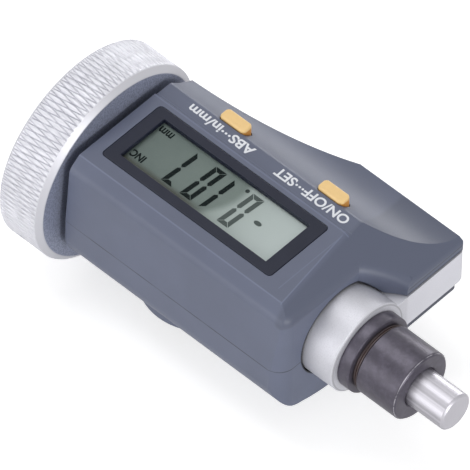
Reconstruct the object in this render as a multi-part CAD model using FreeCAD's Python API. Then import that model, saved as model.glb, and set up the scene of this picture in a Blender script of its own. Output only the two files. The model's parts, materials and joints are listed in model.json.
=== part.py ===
import FreeCAD, Part
import math
import os

# Digital micrometer head, in millimetres.
# Drawn with x = 0 on the front face of the collar, +X toward the measuring tip,
# +Z out of the display and +Y toward the push buttons. Saved with the origin moved
# to the start of the clamping length of the stem.

# Running parts on the spindle line
stem_r = 6.0
stem_length = 7.8
groove_r = 5.5
groove_width = 1.0
flange_r = 6.8
flange_length = 2.2
edge_chamfer = 0.35
spindle_r = 3.25
spindle_shows = 7.25
spindle_play = 0.02
hub_setback = 2.2
travel = 25.0
screw_r = 2.0
screw_gap = 0.32
nut_r = 2.75
nut_play = 0.04
nut_length = 7.0
screw_hold = 5.0
screw_front_room = 1.2
carriage_length = 5.5
carriage_margin = 2.15
carriage_under = 0.75
key_width = 3.0
key_play = 0.04
key_short = 0.5
running_gap = 0.5

# Collar and frame
collar_r = 8.0
collar_shows = 6.0
collar_behind = 4.0
collar_lip = 2.0
collar_chamfer = 0.3
collar_gap = 0.25
collar_room = 0.6
plate_low = -2.45
plate_high = 4.2
plate_corner_r = 1.8
rail_gap = 1.2
rail_width = 1.4
floor_thickness = 1.8
floor_gap = 0.6
bearing_length = 5.0
bearing_boss_r = 7.0
board_pad = 3.0
merge = 0.4

# Housing covers
wall = 1.4
roof = 1.6
back_wall = 2.4
shell_gap = 0.1
part_z = -1.0
top_z = 12.2
side_y = -13.0
back_y = 15.3
shoulder_in = 0.9
shoulder_drop = 1.7
plateau_in = 3.1
ridge_y = 6.95
strip_step = 0.4
ridge_width = 0.3
strip_width = 3.15
sweep_run = 4.0
sweep_drop = 3.1
sweep_past = 1.05
wing_out = 21.95
wing_length = 21.65
wing_setback = 0.25
wing_edge = 2.0
wing_corner_r = 0.5
plate_proud = 0.45
curve_sag = 1.4
crease_low_in = 2.8
crease_high_in = 5.3
crease_past = 0.2
facet_slope = 0.487
diagonal_y = 4.3
notch_x = -3.24
notch_y = 7.09
notch_out_y = 9.07
notch_edge_drop = 2.0
corner_r = 3.0
shoulder_round = 2.0
plateau_round = 0.35
strip_round = 1.0
strip_edge_shift = 2.5
front_round = 2.0
front_room_length = 6.0
sheet_thickness = 1.3
sheet_inset = 1.4
sheet_corner_r = 0.8
belly_side_z = -5.4
belly_corner_in = 1.6
belly_corner_z = -9.0
belly_in = 5.2
belly_z = -11.0
belly_mid_z = -12.5
belly_corner_share = 0.6
boss_round = 0.6

# Display
bezel_length = 35.15
bezel_inset = 2.25
bezel_low_y = -7.45
bezel_width = 13.25
bezel_depth = 0.9
bezel_rise = 0.05
bezel_corner_r = 0.7
window_end = 2.3
window_side = 1.85
window_far_side = 1.65
window_front_end = 2.5
pane_recess = 0.25
lcd_margin = 0.7
lcd_thickness = 1.1
holder_height = 2.2
board_thickness = 0.8
sensor_thickness = 0.6
board_spacing = 0.6
coupler_gap = 0.4
zebra_width = 1.3
holder_wall = 1.0
holder_rib = 0.6
chip_size = 7.0
chip_offset = 5.0
crystal_length = 3.2
crystal_width = 1.6
board_margin = 0.4
board_setback = 2.4
board_ledge = 0.5

# Push buttons
button_length = 5.2
button_width = 2.3
button_y = 11.7
button_spacing = 20.4
button_from_bezel = 10.25
button_bevel = 0.55
button_edge = 0.25
button_sunk = 0.1
button_lip = 0.4
button_clear = 0.15
button_stroke = 0.4
lip_reach = 0.7
lip_in = 10.3
lip_out = 11.9
pad_height = 0.6
pad_base_share = 0.4
pad_dome_r = 0.8
pad_tip_r = 0.6

# Battery and its cap
cell_r = 5.8
cell_height = 5.4
cell_round = 0.4
cell_from_front = 28.0
spring_thickness = 0.25
spring_space = 0.6
spring_reach = 9.9
spring_width = 2.0
cap_wall = 0.38
cap_floor_thickness = 0.7
cap_rim = 1.3
cap_proud = 0.2
cap_gap = 0.4
cap_edge = 0.3
cap_seat_height = 1.4
cap_turn = 60.0
seal_thickness = 0.15
boss_wall = 2.0
plug_reach = 3.8
lug_reach = 0.7
lug_height = 0.5
lug_angle = 30.0
slot_length = 9.0
slot_width = 1.4
slot_depth = 0.4

# Rear bearing and thimble
journal_r = 4.0
journal_play = 0.03
shaft_r = 3.0
bush_r = 5.5
bush_inset = 1.5
ring_r = 4.2
ring_width = 1.2
washer_thickness = 0.5
bearing_inset = 0.6
hub_flange_r = 6.5
rear_hole_gap = 0.4
drum_r = 17.75
drum_width = 8.6
drum_gap = 1.3
drum_land = 0.95
drum_bevel = 1.05
drum_back_bevel = 0.5
dish_r = 14.5
dish_depth = 0.4
recess_r = 6.0
recess_depth = 2.1
cap_disc_thickness = 0.6
end_screw_r = 1.5
end_screw_length = 3.2
end_head_r = 2.8
end_head_height = 1.0
set_r = 1.0
set_angle = 63.0
set_inset = 5.4
set_sunk = 0.6
set_socket = 1.5

# Fasteners
cover_screw_r = 0.75
cover_head_r = 1.4
cover_head_height = 0.9
cover_head_high = -7.2
cover_screw_top = 3.5
screw_clear = 0.15
post_r = 1.9
post_top = 6.5
post_low_sunk = 0.7
post_high_sunk = 0.2
post_inset = 4.0
post_mid_x = -26.5
wing_screw_r = 1.0
wing_head_r = 1.6
wing_screw_inset = 4.25
wing_screw_spacing = 12.5
wing_screw_y = 17.5
wing_screw_grip = 1.3
board_screw_r = 0.6
board_post_r = 1.2
board_post_back_in = 5.8
board_post_front_in = 2.2
board_post_low_y = -8.9
board_post_high_y = 8.3
board_low_y = -10.4
board_high_y = 12.2
board_head = 0.5
clamp_r = 0.7
clamp_head = 0.3
clamp_offset = 1.15
clamp_cover = 2.0
clamp_slit = 0.5
head_over = 0.4
drive_slot = 0.4
drive_share = 0.75
cut_over = 1.0

# Stations along the axis, worked out from the tip backwards
stem_start = flange_length + groove_width
stem_end = stem_start + stem_length
spindle_tip = stem_end + spindle_shows
collar_back = -collar_shows - collar_behind
tail_end = collar_back + collar_lip
carriage_front = collar_back - running_gap - travel
spindle_back = carriage_front - carriage_length
screw_front = spindle_back + travel + screw_hold
hub_front = spindle_back - hub_setback
bearing_front = hub_front - ring_width - shell_gap
bearing_back = bearing_front - bearing_length
front_x = -collar_shows
rear_x = bearing_back - shell_gap - wall
bearing_end = rear_x + bearing_inset
washer_back = bearing_end - washer_thickness
bush_front = bearing_front - bush_inset
drum_front = rear_x - drum_gap
drum_back = drum_front - drum_width
hub_end = drum_back + recess_depth
screw_back = drum_front - drum_bevel
mid_x = (rear_x + front_x) / 2
wing_front = -wing_setback
wing_back = wing_front - wing_length
plate_back = wing_back + shell_gap
plate_out = wing_out + plate_proud

# Heights, worked out from the display face downwards
strip_z = top_z - strip_step
shoulder_z = top_z - shoulder_drop
inner_z = top_z - roof
bezel_floor = top_z - bezel_depth
pane_top = top_z - pane_recess
lcd_high = bezel_floor - shell_gap
lcd_low = lcd_high - lcd_thickness
board_high = lcd_low - holder_height
board_low = board_high - board_thickness
sensor_high = board_low - board_spacing
sensor_low = sensor_high - sensor_thickness
coupler_high = sensor_low - coupler_gap
carriage_high = coupler_high - running_gap
carriage_low = -spindle_r - carriage_under
floor_high = carriage_low - floor_gap
floor_low = floor_high - floor_thickness
cell_high = floor_low - spring_space
cell_low = cell_high - cell_height
cap_floor = cell_low - shell_gap
cap_low = cap_floor - cap_floor_thickness
cap_seat = cap_low + cap_seat_height
ledge_z = cap_seat + cap_proud
boss_low = cap_low + cap_proud
plug_top = cap_seat + plug_reach
lug_low = plug_top - lug_height
boss_high = lug_low - shell_gap
wing_low = plate_high + shell_gap
sheet_low = plate_low - sheet_thickness
board_screw_top = inner_z - 8 * shell_gap
button_low = board_high + pad_height + button_stroke + shell_gap
button_top = top_z - button_sunk

# Widths
shoulder_y = side_y + shoulder_in
plateau_y = side_y + plateau_in
strip_in = ridge_y + ridge_width
strip_out = strip_in + strip_width
inner_y = back_y - back_wall
carriage_half = spindle_r + carriage_margin
rail_in = carriage_half + rail_gap
rail_out = rail_in + rail_width
hole_r = collar_r + collar_gap
rear_hole_r = bearing_boss_r + rear_hole_gap

# Display plan
bezel_back = rear_x + bezel_inset
bezel_front = bezel_back + bezel_length
bezel_high_y = bezel_low_y + bezel_width
window_back = bezel_back + window_end
window_front = bezel_front - window_front_end
window_low_y = bezel_low_y + window_side
window_high_y = bezel_high_y - window_far_side
lcd_back = window_back - lcd_margin
lcd_front = window_front + lcd_margin
lcd_low_y = window_low_y - lcd_margin
lcd_high_y = window_high_y + lcd_margin
zebra_y = lcd_low_y + lcd_margin + zebra_width
board_back = rear_x + wall + board_margin
board_front = collar_back - board_setback
button_back_x = bezel_back + button_from_bezel
button_front_x = button_back_x + button_spacing

# Battery plan
cap_x = front_x - cell_from_front
cap_bore_in = cell_r + screw_gap
plug_r = cap_bore_in + cap_wall
plug_bore_r = plug_r + cap_gap
cap_disc_r = plug_r + cap_rim
cap_bore_r = cap_disc_r + cap_gap
boss_r = cap_bore_r + boss_wall
lug_r = plug_bore_r + lug_reach

# Screw places
post_low_y = side_y + wall + post_r - post_low_sunk
post_high_y = inner_y - post_r + post_high_sunk
post_spots = [
    (rear_x + post_inset, post_low_y),
    (front_x - post_inset, post_low_y),
    (rear_x + post_inset, post_high_y),
    (post_mid_x, post_high_y),
]
board_spots = [
    (x, y)
    for x in (board_back + board_post_back_in, board_front - board_post_front_in)
    for y in (board_post_low_y, board_post_high_y)
]
wing_spots = [
    (wing_front - wing_screw_inset, wing_screw_y),
    (wing_front - wing_screw_inset - wing_screw_spacing, wing_screw_y),
]


def vec(x, y, z):
    return FreeCAD.Vector(x, y, z)


def box(x0, x1, y0, y1, z0, z1):
    return Part.makeBox(x1 - x0, y1 - y0, z1 - z0, vec(x0, y0, z0))


def rod_x(x0, x1, r):
    return Part.makeCylinder(r, x1 - x0, vec(x0, 0, 0), vec(1, 0, 0))


def rod_z(z0, z1, r, x, y):
    return Part.makeCylinder(r, z1 - z0, vec(x, y, z0), vec(0, 0, 1))


def tube_x(x0, x1, r_out, r_in):
    return rod_x(x0, x1, r_out).cut(rod_x(x0, x1, r_in))


def turned(points):
    # Solid of revolution about the X axis from a closed run of (x, r) points.
    outline = [vec(x, r, 0) for x, r in points]
    wire = Part.makePolygon(outline + [outline[0]])
    return Part.Face(wire).revolve(vec(0, 0, 0), vec(1, 0, 0), 360)


def chain(points):
    return [Part.makeLine(a, b) for a, b in zip(points, points[1:])]


def loop(points):
    return chain(points + [points[0]])


def arc(a, b, c):
    return Part.Arc(a, b, c).toShape()


def swept(edges, start, run):
    face = Part.Face(Part.Wire(edges))
    face.translate(start)
    return face.extrude(run)


def along_x(edges, x0, x1):
    return swept(edges, vec(x0, 0, 0), vec(x1 - x0, 0, 0))


def along_z(edges, z0, z1):
    return swept(edges, vec(0, 0, z0), vec(0, 0, z1 - z0))


def middle(edge):
    return edge.valueAt((edge.FirstParameter + edge.LastParameter) / 2)


def softened(shape, radius, targets):
    # Rounds the edges whose middles lie nearest to the target points.
    chosen = [min(shape.Edges, key=lambda e: (middle(e) - t).Length) for t in targets]
    return shape.makeFillet(radius, chosen)


def edges_at(shape, test):
    return [e for e in shape.Edges if test(middle(e))]


def rounded_block(x0, x1, y0, y1, z0, z1, r):
    block = box(x0, x1, y0, y1, z0, z1)
    mid_z = (z0 + z1) / 2
    return block.makeFillet(r, edges_at(block, lambda m: abs(m.z - mid_z) < 1e-6))


def joined(shapes):
    whole = shapes[0]
    for shape in shapes[1:]:
        whole = whole.fuse(shape)
    return whole.removeSplitter()


def cut_all(shape, tools):
    for tool in tools:
        shape = shape.cut(tool)
    return shape


def screw(x, y, head_low, head_r, head_height, shank_r, shank_top, slotted=True):
    head = rod_z(head_low, head_low + head_height, head_r, x, y)
    if slotted:
        reach = head_r * drive_share
        half = drive_slot / 2
        slot = box(x - reach, x + reach, y - half, y + half, head_low, head_low + drive_slot)
        head = head.cut(slot)
    shank = rod_z(head_low + head_height, shank_top, shank_r, x, y)
    return head.fuse(shank).removeSplitter()


def plan_outline():
    # Outline of both covers seen from above: body, notch beside the collar, wing.
    turn = corner_r * (1 - math.sqrt(0.5))
    tip_turn = wing_corner_r * (1 - math.sqrt(0.5))
    body_corner = arc(
        vec(front_x - corner_r, side_y, 0),
        vec(front_x - turn, side_y + turn, 0),
        vec(front_x, side_y + corner_r, 0),
    )
    front = chain(
        [
            vec(front_x, side_y + corner_r, 0),
            vec(front_x, diagonal_y, 0),
        ]
    )
    front.append(
        arc(
            vec(front_x, diagonal_y, 0),
            vec(notch_x, notch_y, 0),
            vec(wing_front, notch_out_y, 0),
        )
    )
    front.append(
        Part.makeLine(
            vec(wing_front, notch_out_y, 0), vec(wing_front, wing_out - wing_corner_r, 0)
        )
    )
    wing_tip = arc(
        vec(wing_front, wing_out - wing_corner_r, 0),
        vec(wing_front - tip_turn, wing_out - tip_turn, 0),
        vec(wing_front - wing_corner_r, wing_out, 0),
    )
    wing_side = Part.makeLine(
        vec(wing_front - wing_corner_r, wing_out, 0), vec(wing_back, wing_out, 0)
    )
    flare = arc(
        vec(wing_back, wing_out, 0),
        vec((wing_back + rear_x) / 2, (wing_out + back_y) / 2 - curve_sag, 0),
        vec(rear_x, back_y, 0),
    )
    rear = Part.makeLine(vec(rear_x, back_y, 0), vec(rear_x, side_y, 0))
    side = Part.makeLine(vec(rear_x, side_y, 0), vec(front_x - corner_r, side_y, 0))
    return [side, body_corner] + front + [wing_tip, wing_side, flare, rear]


def facet_cutter():
    # Everything above the sloping front facet, which meets the display face in a crease.
    start = vec(front_x - crease_low_in, plateau_y - crease_past, top_z)
    end = vec(front_x - crease_high_in, ridge_y, top_z)
    run = (end - start).normalize()
    normal = vec(run.y * facet_slope, -run.x * facet_slope, 1).normalize()
    size = 120.0
    block = box(-size / 2, size / 2, -size / 2, size / 2, 0, size)
    block.Placement = FreeCAD.Placement(start, FreeCAD.Rotation(vec(0, 0, 1), normal))
    return block, (start + end) / 2


def top_section():
    end_y = wing_out + sweep_past
    end_z = wing_low + wing_edge
    line = chain(
        [
            vec(0, end_y, end_z),
            vec(0, end_y, part_z),
            vec(0, side_y, part_z),
            vec(0, shoulder_y, shoulder_z),
            vec(0, plateau_y, top_z),
            vec(0, ridge_y, top_z),
            vec(0, strip_in, strip_z),
            vec(0, strip_out, strip_z),
        ]
    )
    sweep = arc(
        vec(0, strip_out, strip_z),
        vec(0, strip_out + sweep_run, strip_z - sweep_drop),
        vec(0, end_y, end_z),
    )
    return line + [sweep]


def top_solid():
    solid = along_x(top_section(), rear_x - cut_over, wing_front + cut_over)
    solid = solid.common(along_z(plan_outline(), part_z - cut_over, top_z + cut_over))
    cutter, crease_mid = facet_cutter()
    solid = solid.cut(cutter)
    shoulder = vec(mid_x, shoulder_y, shoulder_z)
    edge = vec(mid_x, plateau_y, top_z)
    solid = softened(solid, shoulder_round, [shoulder])
    solid = softened(solid, plateau_round, [edge, crease_mid])
    solid = softened(solid, strip_round, [vec(mid_x - strip_edge_shift, strip_out, strip_z)])
    front_targets = [
        vec(front_x, (side_y + corner_r + diagonal_y) / 2, shoulder_z),
        vec(notch_x, notch_y, shoulder_z - notch_edge_drop),
    ]
    return softened(solid, front_round, front_targets)


def button_prism(centre, grow, low, high):
    # Elongated octagon standing on Z, grown on every side by the clearance.
    half_l = button_length / 2 + grow
    half_w = button_width / 2 + grow
    corners = []
    for side_x, side_y_sign in ((1, -1), (1, 1), (-1, 1), (-1, -1)):
        flank = vec(
            centre + side_x * (half_l - button_bevel), button_y + side_y_sign * half_w, 0
        )
        tip = vec(
            centre + side_x * half_l, button_y + side_y_sign * (half_w - button_bevel), 0
        )
        corners += [flank, tip] if side_x * side_y_sign < 0 else [tip, flank]
    return along_z(loop(corners), low, high)


def lip_block(centre, grow, low, high):
    half = button_length / 2 + lip_reach + grow
    return box(centre - half, centre + half, lip_in - grow, lip_out + grow, low, high)


def top_rooms():
    # Hollows inside the top cover and the openings through it.
    low = part_z - cut_over
    inside = loop(
        [
            vec(0, side_y + wall, low),
            vec(0, shoulder_y + wall, shoulder_z - wall),
            vec(0, plateau_y + wall / 2, inner_z),
            vec(0, strip_out - wall / 2, inner_z),
            vec(0, inner_y, board_high + board_ledge),
            vec(0, inner_y, low),
        ]
    )
    rooms = [along_x(inside, rear_x + wall, front_x - front_room_length)]
    rooms.append(
        box(
            front_x - front_room_length - cut_over,
            front_x - wall,
            side_y + 2 * wall,
            inner_y,
            low,
            collar_r + collar_room,
        )
    )
    over = wing_front + 2 * cut_over
    out = plate_out + cut_over
    rooms.append(box(plate_back - shell_gap, over, notch_y, out, low, wing_low))
    rooms.append(box(front_x - running_gap, over, 0, out, low, wing_low))
    rooms.append(rod_x(front_x - 2 * wall, over, hole_r))
    rooms.append(rod_x(rear_x - cut_over, rear_x + 2 * wall, rear_hole_r))
    rooms.append(
        rounded_block(
            bezel_back - shell_gap,
            bezel_front + shell_gap,
            bezel_low_y - shell_gap,
            bezel_high_y + shell_gap,
            bezel_floor,
            top_z + cut_over,
            bezel_corner_r + shell_gap,
        )
    )
    rooms.append(
        box(
            lcd_back - shell_gap,
            lcd_front + shell_gap,
            lcd_low_y - shell_gap,
            lcd_high_y + shell_gap,
            board_high,
            top_z,
        )
    )
    for centre in (button_back_x, button_front_x):
        rooms.append(button_prism(centre, button_clear, board_high, top_z + cut_over))
        rooms.append(
            lip_block(centre, button_clear, button_low - cut_over, button_low + button_lip)
        )
    return rooms


def top_cover():
    outer = top_solid()
    cover = cut_all(outer, top_rooms())
    for x, y in post_spots:
        cover = cover.fuse(rod_z(part_z, post_top, post_r, x, y).common(outer))
    for x, y in board_spots:
        cover = cover.fuse(rod_z(board_high, inner_z + merge, board_post_r, x, y))
    for x, y in post_spots:
        cover = cover.cut(rod_z(part_z - cut_over, cover_screw_top, cover_screw_r, x, y))
    for x, y in board_spots:
        cover = cover.cut(rod_z(board_high, board_screw_top + 3 * shell_gap, board_screw_r, x, y))
    for x, y in wing_spots:
        hole_top = wing_low + wing_screw_grip
        cover = cover.cut(rod_z(wing_low - cut_over, hole_top, wing_screw_r, x, y))
    return cover.removeSplitter()


def belly_section():
    high_y = back_y - belly_in
    corner_high_y = back_y - belly_corner_in
    low_y = side_y + belly_in
    corner_low_y = side_y + belly_corner_in
    line = chain(
        [
            vec(0, back_y, belly_side_z),
            vec(0, back_y, part_z),
            vec(0, side_y, part_z),
            vec(0, side_y, belly_side_z),
        ]
    )
    low_corner = arc(
        vec(0, side_y, belly_side_z),
        vec(0, corner_low_y, belly_corner_z),
        vec(0, low_y, belly_z),
    )
    arch = arc(
        vec(0, low_y, belly_z),
        vec(0, (low_y + high_y) / 2, belly_mid_z),
        vec(0, high_y, belly_z),
    )
    high_corner = arc(
        vec(0, high_y, belly_z),
        vec(0, corner_high_y, belly_corner_z),
        vec(0, back_y, belly_side_z),
    )
    return line + [low_corner, arch, high_corner]


def belly_room():
    inside = loop(
        [
            vec(0, side_y + wall, part_z + cut_over),
            vec(0, side_y + wall, belly_side_z),
            vec(0, side_y + belly_corner_in + belly_corner_share * wall, belly_corner_z + wall),
            vec(0, side_y + belly_in, belly_z + wall),
            vec(0, back_y - belly_in, belly_z + wall),
            vec(0, inner_y - belly_corner_share * wall, belly_corner_z + wall),
            vec(0, inner_y, belly_side_z),
            vec(0, inner_y, part_z + cut_over),
        ]
    )
    return along_x(inside, rear_x + wall, front_x - wall)


def cap_sector(z0, z1, r, start, angle):
    wedge = Part.makeCylinder(r, z1 - z0, vec(cap_x, 0, z0), vec(0, 0, 1), angle)
    wedge.rotate(vec(cap_x, 0, 0), vec(0, 0, 1), start)
    return wedge


def bottom_cover():
    plan = plan_outline()
    body = along_x(belly_section(), rear_x, front_x)
    body = body.common(along_z(plan, belly_mid_z - cut_over, part_z))
    # The sheet under the wing plate stops short of the wing's outer side.
    sheet_out = wing_out - sheet_inset
    sheet = along_z(plan, sheet_low, plate_low)
    low, high = sheet_low - cut_over, plate_low + cut_over
    sheet = sheet.cut(box(rear_x, 0, sheet_out, wing_out + cut_over, low, high))
    sheet_corner = edges_at(sheet, lambda m: m.x > wing_front - 0.01 and m.y > sheet_out - 0.01)
    sheet = sheet.makeFillet(sheet_corner_r, sheet_corner)
    outer = body.fuse([sheet, along_z(plan, plate_low, part_z)])
    over = wing_front + 2 * cut_over
    out = plate_out + cut_over
    high = part_z + cut_over
    cover = cut_all(
        outer,
        [
            belly_room(),
            box(plate_back - shell_gap, over, notch_y, out, plate_low, high),
            box(front_x, over, 0, notch_out_y, sheet_low - cut_over, high),
            rod_x(front_x - 2 * wall, over, hole_r),
            rod_x(rear_x - cut_over, rear_x + 2 * wall, rear_hole_r),
        ],
    )
    boss = rod_z(boss_low, boss_high, boss_r, cap_x, 0)
    boss = boss.makeFillet(boss_round, edges_at(boss, lambda m: m.z < boss_low + 0.1))
    cover = cover.fuse(boss)
    cover = cover.cut(rod_z(boss_low - cut_over, ledge_z, cap_bore_r, cap_x, 0))
    cover = cover.cut(rod_z(ledge_z - cut_over, boss_high + cut_over, plug_bore_r, cap_x, 0))
    for start in (0, 180):
        first = start - cap_turn - 2
        gate = cap_sector(
            ledge_z - shell_gap, boss_high + cut_over, lug_r + cap_gap, first, lug_angle + 4
        )
        cover = cover.cut(gate)
    for x, y in post_spots:
        cover = cover.fuse(rod_z(belly_z, part_z, post_r, x, y).common(outer))
    for x, y in post_spots:
        hole_r_here = cover_screw_r + screw_clear
        cover = cover.cut(rod_z(cover_head_high - cut_over, part_z + cut_over, hole_r_here, x, y))
        sink = rod_z(belly_mid_z, cover_head_high, cover_head_r + screw_clear, x, y)
        cover = cover.cut(sink)
    for x, y in wing_spots:
        hole = rod_z(sheet_low - cut_over, plate_low + cut_over, wing_head_r + screw_clear, x, y)
        cover = cover.cut(hole)
    return cover.removeSplitter()


def frame():
    # Cast and machined in one: collar, wing plate, carriage channel, bearing block.
    collar = rod_x(collar_back, 0, collar_r)
    collar = collar.makeChamfer(collar_chamfer, edges_at(collar, lambda m: m.x > -0.1))
    plate = box(plate_back, 0, rail_in - merge, plate_out, plate_low, plate_high)
    mid_z = (plate_low + plate_high) / 2
    outer_corners = edges_at(
        plate, lambda m: abs(m.z - mid_z) < 0.1 and abs(m.y - plate_out) < 0.1
    )
    plate = plate.makeFillet(plate_corner_r, outer_corners)
    arm = box(front_x, -collar_chamfer, 0, rail_in, plate_low, plate_high)
    channel_front = collar_back + running_gap
    pieces = [collar, plate, arm]
    pieces.append(
        box(bearing_back, channel_front, -rail_out, rail_out, floor_low, floor_high)
    )
    for near in (-rail_out, rail_in):
        far = near + rail_width
        pieces.append(box(bearing_back, channel_front, near, far, floor_low, plate_high))
        for x in (bearing_back + shell_gap, board_front - board_pad):
            pieces.append(box(x, x + board_pad, near, far, plate_high - merge, sensor_low))
    pieces.append(
        box(bearing_back, bearing_front, -rail_out, rail_out, floor_low, sensor_low)
    )
    pieces.append(rod_x(bearing_end, bearing_back + shell_gap, bearing_boss_r))
    whole = joined(pieces)
    half_key = key_width / 2 + key_play
    key_slot = box(
        spindle_back - cut_over,
        collar_back - running_gap + 2 * shell_gap,
        -half_key,
        half_key,
        floor_low - cut_over,
        floor_high + cut_over,
    )
    whole = cut_all(
        whole,
        [
            rod_x(tail_end, cut_over, groove_r),
            rod_x(collar_back - cut_over, 0, spindle_r + screw_gap),
            rod_x(bearing_end - cut_over, bush_front, bush_r),
            rod_x(bush_front - cut_over, bearing_front + cut_over, shaft_r + screw_gap),
            key_slot,
        ],
    )
    for x, y in wing_spots:
        hole = rod_z(plate_low - cut_over, plate_high + cut_over, wing_screw_r + screw_clear, x, y)
        whole = whole.cut(hole)
    return whole.removeSplitter()


def stem():
    # Tail in the collar, flange, relief groove with run-out rings, clamping length.
    bore = spindle_r + spindle_play
    bevel = edge_chamfer / 2
    points = [
        (tail_end, bore),
        (tail_end, groove_r),
        (0, groove_r),
        (0, flange_r - bevel),
        (bevel, flange_r),
        (flange_length - bevel, flange_r),
        (flange_length, flange_r - bevel),
        (flange_length, groove_r),
    ]
    ring_rise = 0.25
    ring_step = groove_width / 5
    for first in (1, 3):
        start = flange_length + first * ring_step
        points += [
            (start, groove_r),
            (start, groove_r + ring_rise),
            (start + ring_step, groove_r + ring_rise),
            (start + ring_step, groove_r),
        ]
    points += [
        (stem_start, groove_r),
        (stem_start, stem_r),
        (stem_end - edge_chamfer, stem_r),
        (stem_end, stem_r - edge_chamfer),
        (stem_end, bore),
    ]
    return turned(points)


def spindle():
    # Solid nose, hollow behind for the feed screw, with a pocket for the nut.
    bore = screw_r + screw_gap
    bore_end = screw_front + screw_front_room
    pocket_end = spindle_back + nut_length
    return turned(
        [
            (spindle_back, nut_r),
            (spindle_back, spindle_r),
            (spindle_tip - edge_chamfer, spindle_r),
            (spindle_tip, spindle_r - edge_chamfer),
            (spindle_tip, 0),
            (bore_end, 0),
            (bore_end, bore),
            (pocket_end, bore),
            (pocket_end, nut_r),
        ]
    )


clamp_x = (spindle_back + carriage_front) / 2
clamp_y = -(spindle_r + clamp_offset)
clamp_top = carriage_high - clamp_cover


def carriage():
    # Split block clamped on the back of the spindle.
    half = carriage_half
    block = box(spindle_back, carriage_front, -half, half, carriage_low, carriage_high)
    bore = rod_x(spindle_back - cut_over, carriage_front + cut_over, spindle_r)
    slit = box(
        spindle_back - cut_over,
        carriage_front + cut_over,
        -half - cut_over,
        0,
        -clamp_slit / 2,
        clamp_slit / 2,
    )
    hole = rod_z(carriage_low - cut_over, clamp_top, clamp_r, clamp_x, clamp_y)
    return cut_all(block, [bore, slit, hole])


def clamp_screw():
    head_low = carriage_low - clamp_head
    head_r = clamp_r + head_over
    top = clamp_top - 2 * shell_gap
    return screw(clamp_x, clamp_y, head_low, head_r, clamp_head, clamp_r, top, False)


def guide_key():
    half = key_width / 2
    inset = running_gap
    return box(
        spindle_back + inset, carriage_front - inset, -half, half, floor_low + key_short, carriage_low
    )


def coupler_plate():
    half = carriage_half
    return box(spindle_back, carriage_front, -half, half, carriage_high, coupler_high)


def circuit_board():
    board = box(board_back, board_front, board_low_y, board_high_y, board_low, board_high)
    for x, y in board_spots:
        board = board.cut(rod_z(board_low - cut_over, board_high + cut_over, board_screw_r, x, y))
    return board


def board_chips():
    low = board_low - board_spacing + shell_gap
    board_mid = (board_back + board_front) / 2
    chip_back = board_mid - chip_offset
    chip = box(chip_back, chip_back + chip_size, -chip_size / 2, chip_size / 2, low, board_low)
    crystal_back = board_mid + chip_offset
    crystal_end = crystal_back + crystal_length
    half = crystal_width / 2
    crystal = box(crystal_back, crystal_end, -half, half, low, board_low)
    return Part.makeCompound([chip, crystal])


def lcd_holder():
    block = box(lcd_back, lcd_front, lcd_low_y, lcd_high_y, board_high, lcd_low)
    light_room = box(
        lcd_back + holder_wall,
        lcd_front - holder_wall,
        zebra_y + holder_rib,
        lcd_high_y - holder_wall,
        board_high,
        lcd_low - holder_rib,
    )
    return cut_all(block, [light_room, zebra_box(shell_gap)])


def zebra_box(grow):
    # Rubber contact strip between the board and the liquid crystal panel.
    return box(
        lcd_back + holder_wall - grow,
        lcd_front - holder_wall + grow,
        zebra_y - zebra_width - grow,
        zebra_y + grow,
        board_high,
        lcd_low,
    )


def bezel():
    block = rounded_block(
        bezel_back,
        bezel_front,
        bezel_low_y,
        bezel_high_y,
        bezel_floor,
        top_z + bezel_rise,
        bezel_corner_r,
    )
    opening = box(
        window_back, window_front, window_low_y, window_high_y, bezel_floor, top_z + cut_over
    )
    return block.cut(opening)


def button(centre):
    key = button_prism(centre, 0, button_low, button_top)
    key = key.makeChamfer(button_edge, edges_at(key, lambda m: m.z > button_top - 0.01))
    lip_top = button_low + button_lip - shell_gap
    return key.fuse(lip_block(centre, 0, button_low, lip_top)).removeSplitter()


def pad(centre):
    base_height = pad_height * pad_base_share
    half = button_length / 2 - 2 * shell_gap
    base = box(
        centre - half, centre + half, lip_in, board_high_y, board_high, board_high + base_height
    )
    foot = vec(centre, (lip_in + lip_out) / 2, board_high + base_height)
    dome = Part.makeCone(pad_dome_r, pad_tip_r, pad_height - base_height, foot)
    return base.fuse(dome).removeSplitter()


def battery():
    cell = rod_z(cell_low, cell_high, cell_r, cap_x, 0)
    return cell.makeFillet(cell_round, edges_at(cell, lambda m: abs(m.z - cell_low) < 0.01))


def battery_cap():
    cap = rod_z(cap_low, cap_seat, cap_disc_r, cap_x, 0)
    cap = cap.makeFillet(cap_edge, edges_at(cap, lambda m: m.z < cap_low + 0.01))
    cap = cap.fuse(rod_z(cap_seat, plug_top, plug_r, cap_x, 0))
    for start in (0, 180):
        cap = cap.fuse(cap_sector(lug_low, plug_top, lug_r, start, lug_angle))
    cap = cap.cut(rod_z(cap_floor, plug_top + cut_over, cap_bore_in, cap_x, 0))
    half_l = slot_length / 2
    half_w = slot_width / 2
    slot = box(cap_x - half_l, cap_x + half_l, -half_w, half_w, cap_low, cap_low + slot_depth)
    return cap.cut(slot).removeSplitter()


def cap_seal():
    seal_r = cap_disc_r - 0.2
    ring = rod_z(cap_seat, cap_seat + seal_thickness, seal_r, cap_x, 0)
    return ring.cut(rod_z(cap_seat, cap_seat + seal_thickness, plug_r, cap_x, 0))


def cell_spring():
    top = cell_high + spring_thickness
    reach = cap_x + spring_reach
    pad_disc = rod_z(cell_high, top, cell_r / 2, cap_x, 0)
    half = spring_width / 2
    leg = box(cap_x + half, reach, -half, half, cell_high, top)
    rise = box(reach - spring_thickness, reach, -half, half, cell_high, floor_low)
    return joined([pad_disc, leg, rise])


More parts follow.
